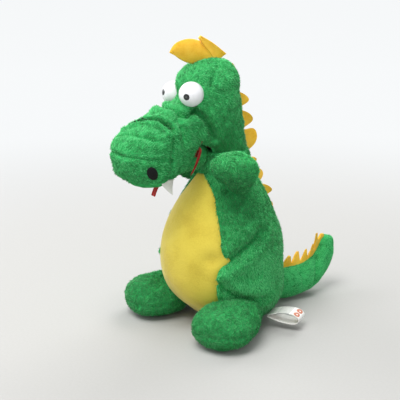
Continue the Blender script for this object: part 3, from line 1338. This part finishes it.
    def add_fangs(self) -> None:
        """Curved felt points sewn under the lip."""
        for side in Side:
            points, faces = [], []
            for row in range(12):
                share = row / 11
                for step in range(9):
                    across = step / 4 - 1
                    half = 4.3 * (1 - share ** 1.25)
                    y = -46 + across * half + 3.0 * share * share
                    z = -6.5 - 9.3 * share
                    points.append((side.value * (13.2 + 0.8 * share - 0.5 * across * across * (1 - share)), y, z))
            for row in range(11):
                for step in range(8):
                    first = row * 9 + step
                    faces.append((first, first + 1, first + 10, first + 9))
            fang = new_object(f"fang_felt_{side.word}", head_to_world(points), faces, [self.wardrobe.white_felt])
            modified(fang, "SOLIDIFY", thickness=1.1 * MM, offset=0)
            fang.data.shade_smooth()
            finish_piece(fang, "head", [f"fang_{side.word}"])


def new_box(name: str, low: Sequence[float], high: Sequence[float]) -> bpy.types.Object:
    """A box between two corners."""
    corners = [(x, y, z) for x in (low[0], high[0]) for y in (low[1], high[1]) for z in (low[2], high[2])]
    faces = ((0, 1, 3, 2), (4, 6, 7, 5), (0, 4, 5, 1), (2, 3, 7, 6), (0, 2, 6, 4), (1, 5, 7, 3))
    return new_object(name, np.array(corners, float), faces)


# ---------------------------------------------------------------- limbs and tail


@dataclass
class Arm:
    """A short stuffed arm whose pile turns round its end."""

    wardrobe: Wardrobe
    side: Side
    rows: Rows = (*ball_rows(8.4), (0, 8.6, 8.4), (8, 11.6, 8.8), (17, 15, 9.6), (25, 14.4, 9.2), (30.5, 9.6, 6.2),
                  (33, 0, 0))

    def build(self) -> None:
        """Make the arm and its pile."""
        word, sign = self.side.word, self.side.value
        start, aim = np.array((22.5 * sign, -7, 94.5)), unit(np.array((12.5 * sign, -17, 16)))
        sideways = unit(np.cross(aim, (0, 0, 1)))
        up = np.cross(sideways, aim)
        seam = PlaneSeam(tuple(start + up * 3), tuple(up), depth=0.3, width=0.9)
        form = limb_form(f"arm_cloth_{word}", self.rows, aim, start)
        skin = stuffed(form, [seam], [self.wardrobe.ground], 3.4, 1.0, 2)
        closeness = crease(skin, [seam])
        points, normals = points_of(skin), normals_of(skin)
        points += normals * (ripple(points, 12, 31) * 0.35)[:, None]
        move_points(skin, points)
        end = start + aim * 26
        comb = np.cross(aim, points - end) * 0.06 + 0.5 * aim + 0.3 * np.stack([ripple(points, 14, n) for n in (1, 2, 3)], 1)
        density = (1 - 0.6 * closeness) * away_from(points, start, 6)
        pile = grow_pile(skin, f"arm_pile_{word}", PileCut(2.0, 0.6, 0.56, 0.5, 0.3, 4.0), self.wardrobe.pile, density,
                         comb, 15, -0.06 + 0.1 * normals_of(skin)[:, 2])
        finish_piece(skin, f"arm_{word}",
                     (f"arm_upper_panel_{word}", f"arm_lower_panel_{word}", f"arm_filling_{word}"))
        finish_piece(pile, f"arm_{word}")


@dataclass
class Foot:
    """A long stuffed foot, sewn round its edge and pressed flat below."""

    wardrobe: Wardrobe
    side: Side
    rows: Rows = (*ball_rows(11.5), (0, 11.5, 11.5), (8, 17, 13.5), (18, 20, 14), (28, 19.5, 13.8), (36, 15, 11.5),
                  (40.5, 8, 6.5), (42, 0, 0))

    def build(self) -> None:
        """Make the foot and its pile."""
        word = self.side.word
        start = np.array((33.5, -11, 12.5) if self.side is Side.LEFT else (-26.5, -12, 12.5))
        splay = math.radians(11 if self.side is Side.LEFT else -9)
        aim = np.array((math.sin(splay), -math.cos(splay), 0))
        seam = PlaneSeam((0, 0, 11.5), (0, 0, 1), low=(-100, -100, 0), high=(100, start[1] - 8, 40), depth=0.6, width=1.0)
        form = reshape(limb_form(f"foot_cloth_{word}", self.rows, aim, start), pressed_on_floor)
        skin = stuffed(form, [seam], [self.wardrobe.ground], 4.0, 1.4, 2, True)
        closeness = crease(skin, [seam])
        points, normals = points_of(skin), normals_of(skin)
        points += normals * (ripple(points, 13, 41) * 0.4 + ripple(points, 5, 42) * 0.15)[:, None]
        points[:, 2] = np.maximum(points[:, 2], 0)
        move_points(skin, points)
        comb = 0.5 * aim + 0.55 * np.stack([ripple(points, 11, n) for n in (4, 5, 6)], 1) + np.array((0, 0, -0.3))
        density = (1 - 0.6 * closeness) * np.clip((points[:, 2] - 0.8) / 1.5, 0, 1) * away_from(points, start, 8.5)
        pile = grow_pile(skin, f"foot_pile_{word}", PileCut(1.8, 0.58, 0.56, 0.55, 0.45, 3.5), self.wardrobe.pile, density,
                         comb, 16, -0.15)
        finish_piece(skin, f"foot_{word}",
                     (f"foot_upper_{word}", f"foot_sole_{word}", f"foot_filling_{word}"))
        finish_piece(pile, f"foot_{word}")


@dataclass
class Tail:
    """The tail, curving up from its round root."""

    wardrobe: Wardrobe
    root: tuple[float, float, float] = (3, 35.5, 12.2)
    rows: Rows = (
        (3, 35.5, 12.2, 11), (5.5, 46, 11.6, 11.3), (7.5, 57, 11.2, 11.3), (8.5, 68, 12.4, 10.4), (9, 78, 18, 9),
        (9, 84.5, 26.5, 8.2), (9, 87, 34, 7), (9, 87.6, 38.4, 4.4), (9, 87.7, 40.2, 0),
    )

    def sections(self, count: int) -> tuple[np.ndarray, np.ndarray, np.ndarray]:
        """Middles, half widths and half heights along the tail."""
        x, y, z = self.root
        rows = [(x, y + distance, z, radius) for distance, radius, _ in ball_rows(11)] + list(self.rows)
        places = np.linspace(0, 1, count)
        table = smooth_rows(rows, places)
        step = smooth_rows(rows, np.minimum(places + 0.02, 1)) - smooth_rows(rows, np.maximum(places - 0.02, 0))
        forward = unit(step[:, :3])
        sideways = unit(np.cross(forward, (0, 0, 1)))
        radius = np.maximum(table[:, 3:], 0.01)
        return table[:, :3], sideways * radius, np.cross(sideways, forward) * radius

    def build(self) -> None:
        """Make the tail and its pile."""
        folds = (Fold(((15, 72, 27), (19, 70, 17), (17, 69, 8)), 1.6, 1.8), Fold(((14, 58, 21), (18, 57, 12)), 0.8, 2.0),
                 PlaneSeam((3, 35.5, 0), (0.995, -0.1, 0), low=(-20, 44, -5), depth=0.9, width=1.0))
        middles, sideways, upward = self.sections(70)
        form = reshape(loft("tail_cloth", middles, sideways, upward), pressed_on_floor)
        skin = stuffed(form, folds, [self.wardrobe.ground], 3.6, 1.2, 2, True)
        closeness = crease(skin, folds)
        points, normals = points_of(skin), normals_of(skin)
        points += normals * (ripple(points, 14, 51) * 0.35)[:, None]
        points[:, 2] = np.maximum(points[:, 2], 0)
        move_points(skin, points)
        share = np.clip((points[:, 1] - 60) / 25, 0, 1)[:, None]
        comb = np.array((0.05, 1, -0.2)) * (1 - share) + np.array((0, 0.3, 1.0)) * share
        comb = comb + 0.35 * np.stack([ripple(points, 18, n) for n in (7, 8, 9)], 1)
        density = (1 - 0.6 * closeness) * np.clip((points[:, 2] - 0.8) / 1.5, 0, 1) * away_from(points, self.root, 8)
        pile = grow_pile(skin, "tail_pile", PileCut(0.9, 0.45, 0.55, 0.5, 0.35, 6.0), self.wardrobe.pile, density, comb, 17,
                         0.26)
        finish_piece(skin, "tail", ("tail_panel_left", "tail_panel_right", "tail_filling"))
        finish_piece(pile, "tail")


# ---------------------------------------------------------------- felt crests


@dataclass(frozen=True)
class Spike:
    """One tongue of a crest: its start along the strip, width, height, lean, and roundness (small is round)."""

    start: float
    width: float
    height: float
    lean: float = 0.0
    roundness: float = 0.65

    def lift(self, distance: np.ndarray) -> np.ndarray:
        """How high the felt stands at each distance along the strip."""
        share = np.clip((distance - self.start) / self.width, 0, 1)
        return self.height * np.sin(math.pi * share) ** self.roundness


def felt_strip(name: str, profile: np.ndarray, spikes: Sequence[Spike], material: bpy.types.Material, length: float,
               curl_seed: int, rise: float = 1.3, depth: float = 3.0, offset: float = 0.0) -> bpy.types.Object:
    """A felt crest that stands on a line of points.

    Args:
        name: the piece's name.
        profile: the line that it's sewn along, in 3-D.
        spikes: its tongues.
        material: the felt.
        length: where the strip ends along the line.
        curl_seed: what its curl is drawn from.
        rise: how high the band between the tongues is.
        depth: how deep it goes into the seam.
        offset: turn of the strip's plane to one side, in millimetres.

    Returns:
        The crest, a closed sheet.
    """
    steps = np.linalg.norm(np.diff(profile, axis=0), axis=1)
    reach = np.concatenate([[0], np.cumsum(steps)])
    length = min(length, reach[-1])
    distances = np.arange(0, length, 0.45)
    base = np.stack([np.interp(distances, reach, profile[:, k]) for k in range(3)], 1)
    tangent = unit(np.gradient(base, axis=0))
    sideways = np.array((1.0, 0, 0)) - tangent * tangent[:, :1]
    out = unit(np.cross(unit(sideways), tangent))
    high = np.full(len(distances), rise)
    lean = np.zeros(len(distances))
    for spike in spikes:
        lifted = spike.lift(distances)
        high = np.maximum(high, lifted)
        lean += spike.lean * (lifted > 0)
    ends = np.minimum(distances, length - distances)
    high = high * np.clip(ends / 2, 0.1, 1)
    layers = 12
    points, faces = [], []
    for layer in range(layers):
        share = layer / (layers - 1)
        height = -depth + (depth + high) * share
        above = np.maximum(height, 0)
        curl = ripple(base, 15, curl_seed) * (above / 7) ** 1.5 * 1.6 + offset * above / 7
        points.append(base + out * height[:, None] + tangent * (lean * (above / 7) ** 2)[:, None]
                      + unit(sideways) * curl[:, None])
    count = len(distances)
    for layer in range(layers - 1):
        for step in range(count - 1):
            first = layer * count + step
            faces.append((first, first + 1, first + count + 1, first + count))
    strip = new_object(name, np.concatenate(points), faces, [material])
    modified(strip, "SOLIDIFY", thickness=1.4 * MM, offset=0)
    strip.data.shade_flat()
    return strip


def felt_leaf(name: str, spine: Rows, widths: Sequence[float], across: Sequence[float], curl: float,
              material: bpy.types.Material) -> bpy.types.Object:
    """A leaf of felt along a smooth spine.

    Args:
        name: the piece's name.
        spine: points from its root to its tip, in the head's frame.
        widths: its half width at each of those points.
        across: the direction of its width.
        curl: how far its edges turn.
        material: the felt.

    Returns:
        The leaf, a closed sheet.
    """
    line = smooth_rows([(*point, width) for point, width in zip(spine, widths)], 40)
    forward = unit(np.gradient(line[:, :3], axis=0))
    side = np.array(across, float) - forward * (forward @ np.array(across, float))[:, None]
    side = unit(side)
    facing = np.cross(forward, side)
    points, faces, steps = [], [], 17
    for row, width in enumerate(np.maximum(line[:, 3], 0.05)):
        for share in np.linspace(-1, 1, steps):
            bend = curl * (share ** 2) * width / 6
            points.append(line[row, :3] + side[row] * share * width + facing[row] * bend)
    for row in range(len(line) - 1):
        for step in range(steps - 1):
            first = row * steps + step
            faces.append((first, first + 1, first + steps + 1, first + steps))
    leaf = new_object(name, head_to_world(points), faces, [material])
    modified(leaf, "SOLIDIFY", thickness=1.5 * MM, offset=0)
    return leaf


def joined(pieces: Sequence[bpy.types.Object]) -> bpy.types.Object:
    """One piece made of several bodies, named as the first."""
    bm = bmesh.new()
    for piece in pieces:
        bm.from_mesh(piece.data)
    bm.to_mesh(pieces[0].data)
    bm.free()
    for piece in pieces[1:]:
        bpy.data.objects.remove(piece)
    return pieces[0]


@dataclass
class Crests:
    """The orange felt down the back, the neck and the tail, and the leaves on the crown."""

    wardrobe: Wardrobe
    torso: Torso
    head: Head
    tail: Tail
    back_spikes: tuple[Spike, ...] = (
        Spike(0, 11, 9, 0.6), Spike(11, 10, 8.5, 0.6), Spike(22, 10.5, 9, 0.6), Spike(33, 10.5, 9, 0.6),
        Spike(44, 10, 8.5, 0.6), Spike(55, 10, 8, 0.6), Spike(66, 9, 6.5, 0.6))
    neck_spikes: tuple[Spike, ...] = (Spike(20, 10, 7.5, 1), Spike(32, 12, 9, 0), Spike(45, 14, 10.5, -2))
    tail_spikes: tuple[Spike, ...] = (
        Spike(9, 8, 7, 1, 1.2), Spike(16.5, 8, 8, 1, 1.2), Spike(24, 8, 8, 1, 1.2), Spike(31.5, 8, 8, 1, 1.2),
        Spike(39, 9, 8.5, 1, 1.1))

    def build(self) -> None:
        """Make all three crests."""
        felt = self.wardrobe.orange
        rows = np.array(self.torso.levels)[3:13][::-1]
        line = smooth_rows(np.stack([np.zeros(len(rows)), rows[:, 3], rows[:, 0]], 1), 120)
        back = felt_strip("back_crest_felt", line, self.back_spikes, felt, 82, 61)
        finish_piece(back, "torso", ["back_crest"])

        rows = np.array(((-3, 16, 0), *self.head.levels[:7]))[::-1]
        line = smooth_rows(np.stack([np.zeros(len(rows)), rows[:, 2] + rows[:, 1], rows[:, 0]], 1), 120)
        neck = felt_strip("head_crest_felt", head_to_world(line), self.neck_spikes, felt, 64, 62)
        front = felt_leaf("front_leaf", ((0, -6, 61), (0, -14, 64.5), (0, -23, 67), (0, -31, 68), (0, -36.5, 67)),
                          (5, 6.6, 6.8, 4.2, 0.1), (0, 0, 1), 1.6, felt)
        second = felt_leaf("second_leaf", ((0, -2, 61), (0, -6, 66), (0, -11, 70.5), (0, -16, 75)),
                           (5, 3.4, 2.4, 0.8), (0, 0.7, 0.7), -1.2, felt)
        finish_piece(joined([neck, front, second]), "head", ["head_crest"])

        middles, _, upward = self.tail.sections(120)
        line = (middles + upward)[36:112]
        tail = felt_strip("tail_crest_felt", line, self.tail_spikes, felt, 60, 63)
        finish_piece(tail, "tail", ["tail_crest"])


@dataclass
class Label:
    """A folded satin label in the seam beside the tail."""

    wardrobe: Wardrobe
    seam: tuple[float, float, float] = (32.2, 11, 7.5)
    length: float = 21.5
    width: float = 12.5
    turn: float = 27.0

    def build(self) -> None:
        """Fold the ribbon out from the seam, round and back."""
        line = [(0.4, 0.5), (7, 2.6), (14, 3.6), (19, 2.9), (21.2, 0.7), (20.2, -2.0), (16, -3.0), (8, -2.4), (0.4, -0.5)]
        curve = smooth_rows(line, 60)
        turn = math.radians(self.turn)
        out = np.array((math.cos(turn), math.sin(turn), 0))
        side = np.array((-math.sin(turn), math.cos(turn), 0))
        points, faces, steps = [], [], 15
        for distance, height in curve:
            for share in np.linspace(-0.5, 0.5, steps):
                sag = -0.5 * (distance / self.length) ** 2 * (share + 0.5)
                points.append(np.array(self.seam) + out * distance + side * share * self.width
                              + np.array((0, 0, height + sag)))
        for row in range(len(curve) - 1):
            for step in range(steps - 1):
                first = row * steps + step
                faces.append((first, first + 1, first + steps + 1, first + steps))
        label = new_object("satin_label", np.array(points), faces, [self.wardrobe.satin])
        uv = label.data.uv_layers.new(name="ribbon")
        for loop in label.data.loops:
            row, step = divmod(loop.vertex_index, steps)
            uv.data[loop.index].uv = (step / (steps - 1), row / (len(curve) - 1))
        modified(label, "SOLIDIFY", thickness=0.35 * MM, offset=0)
        finish_piece(label, "label", ["care_label"])


# ---------------------------------------------------------------- studio


@dataclass
class Studio:
    """A pale paper sweep, soft light and the camera."""

    wardrobe: Wardrobe
    target: tuple[float, float, float] = (-9.77, -11.64, 77.01)
    eye: tuple[float, float, float] = (432.05, -382.38, 242.39)
    lens: float = 84.9

    def build(self) -> None:
        """Make the floor, the lights, the world and the camera."""
        self.add_sweep()
        self.add_light("key_softbox", (60, -330, 860), 560, 8.6, "#ffffff")
        self.add_light("side_softbox", (-620, -260, 460), 480, 2.0, "#fbfdff")
        self.add_light("back_softbox", (-260, 560, 620), 520, 4.0, "#ffffff")
        world = bpy.data.worlds.new("studio_white")
        world.use_nodes = True
        world.node_tree.nodes.clear()
        ground = add_node(world.node_tree, "ShaderNodeBackground", {"Color": linear("#f7f9fb"), "Strength": 0.34})
        add_node(world.node_tree, "ShaderNodeOutputWorld", {"Surface": ground.outputs[0]})
        bpy.context.scene.world = world
        camera = bpy.data.objects.new("camera", bpy.data.cameras.new("camera"))
        camera.data.lens = self.lens
        camera.data.sensor_width = 36
        camera.data.clip_start = 0.01
        camera.location = Vector(self.eye) * MM
        camera.rotation_euler = (Vector(self.target) - Vector(self.eye)).to_track_quat("-Z", "Y").to_euler()
        bpy.context.scene.collection.objects.link(camera)
        bpy.context.scene.camera = camera
        bpy.context.scene.view_settings.view_transform = "Standard"

    def add_sweep(self) -> None:
        """A round sheet of paper that turns up all round, far from the toy."""
        profile = [(0, 0), (900, 0), (1300, 15), (1600, 90), (1850, 260), (2000, 520), (2050, 900), (2060, 1500)]
        curve = smooth_rows(profile, 60)
        points, faces, spokes = [], [], 96
        for radius, height in curve:
            for spoke in range(spokes):
                angle = 2 * math.pi * spoke / spokes
                points.append((max(radius, 1) * math.cos(angle), max(radius, 1) * math.sin(angle), max(height, 0) - 0.02))
        for ring in range(len(curve) - 1):
            for spoke in range(spokes):
                after = (spoke + 1) % spokes
                faces.append((ring * spokes + spoke, ring * spokes + after, (ring + 1) * spokes + after,
                              (ring + 1) * spokes + spoke))
        faces.append(tuple(range(spokes)))
        sweep = new_object("paper_sweep_floor", np.array(points), faces, [self.wardrobe.sweep])

    def add_light(self, name: str, place: Sequence[float], size: float, watts: float, colour: str) -> None:
        """A square softbox that faces the toy."""
        lamp = bpy.data.lights.new(name, "AREA")
        lamp.energy = watts
        lamp.size = size * MM
        lamp.color = linear(colour)[:3]
        made = bpy.data.objects.new(name, lamp)
        made.location = Vector(place) * MM
        made.rotation_euler = (Vector((0, 0, 80)) - Vector(place)).to_track_quat("-Z", "Y").to_euler()
        bpy.context.scene.collection.objects.link(made)


def main() -> None:
    """Build every sub-assembly in order."""
    logging.basicConfig(level=logging.INFO, format="%(name)s: %(message)s")
    wardrobe = Wardrobe()
    Studio(wardrobe).build()
    torso = Torso(wardrobe)
    jaw = Jaw(wardrobe)
    head = Head(wardrobe, jaw)
    tail = Tail(wardrobe)
    torso.build()
    NeckSleeve(wardrobe).build()
    head.build()
    jaw.build()
    for side in Side:
        Arm(wardrobe, side).build()
        Foot(wardrobe, side).build()
    tail.build()
    Crests(wardrobe, torso, head, tail).build()
    Label(wardrobe).build()


if __name__ == "__main__":
    main()
